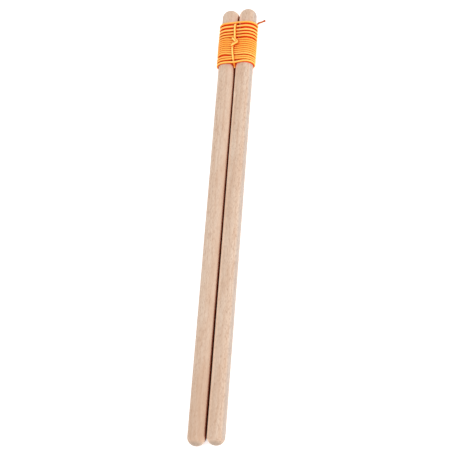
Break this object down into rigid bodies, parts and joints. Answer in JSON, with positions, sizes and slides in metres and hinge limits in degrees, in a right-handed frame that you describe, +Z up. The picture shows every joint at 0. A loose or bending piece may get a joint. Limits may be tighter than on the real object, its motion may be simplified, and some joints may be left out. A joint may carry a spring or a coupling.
{
  "type": "claves",
  "caption": "Pair of slim round wooden claves with domed ends, lashed together near one end by a tight winding of orange elastic cord with a knotted tie.",
  "frame": {"origin": "middle of the pair's outline, on the table it lies on", "axes": "+Z up; +Y along the two sticks, from their free ends to the bound ends; +X from the left stick to the right stick"},
  "size_m": [0.0338, 0.32, 0.0182],
  "materials": {
    "beech": "sanded bare beech, fine flecks along the grain, faint satin sheen",
    "elastic_cord": "braided textile cover over a rubber core, matte with a slight sheen",
    "cord_end": "heat-sealed cord end, smooth and slightly glossy"
  },
  "bodies": {
    "binding": {"elastic_winding": "elastic_cord", "tie_strand_upper": "elastic_cord", "tie_strand_lower": "elastic_cord", "tie_knot": "elastic_cord", "elastic_tail": "elastic_cord", "tail_bead": "cord_end"},
    "left_stick": {"left_stick": "beech"},
    "right_stick": {"right_stick": "beech"}
  },
  "joints": [
    {"name": "left_stick_slide", "type": "slide", "parent": "binding", "child": "left_stick", "axis": [-0.0014, -1, -0.0062], "range_m": [0, 0.06]},
    {"name": "right_stick_opening", "type": "hinge", "parent": "binding", "child": "right_stick", "pos_m": [-0.00278, 0.154, 0.00787], "axis": [0, -0.0062, 1], "range_deg": [0, 5], "stiffness_Nm_per_rad": 1.5, "deforming": ["elastic_winding", "elastic_tail"]}
  ]
}
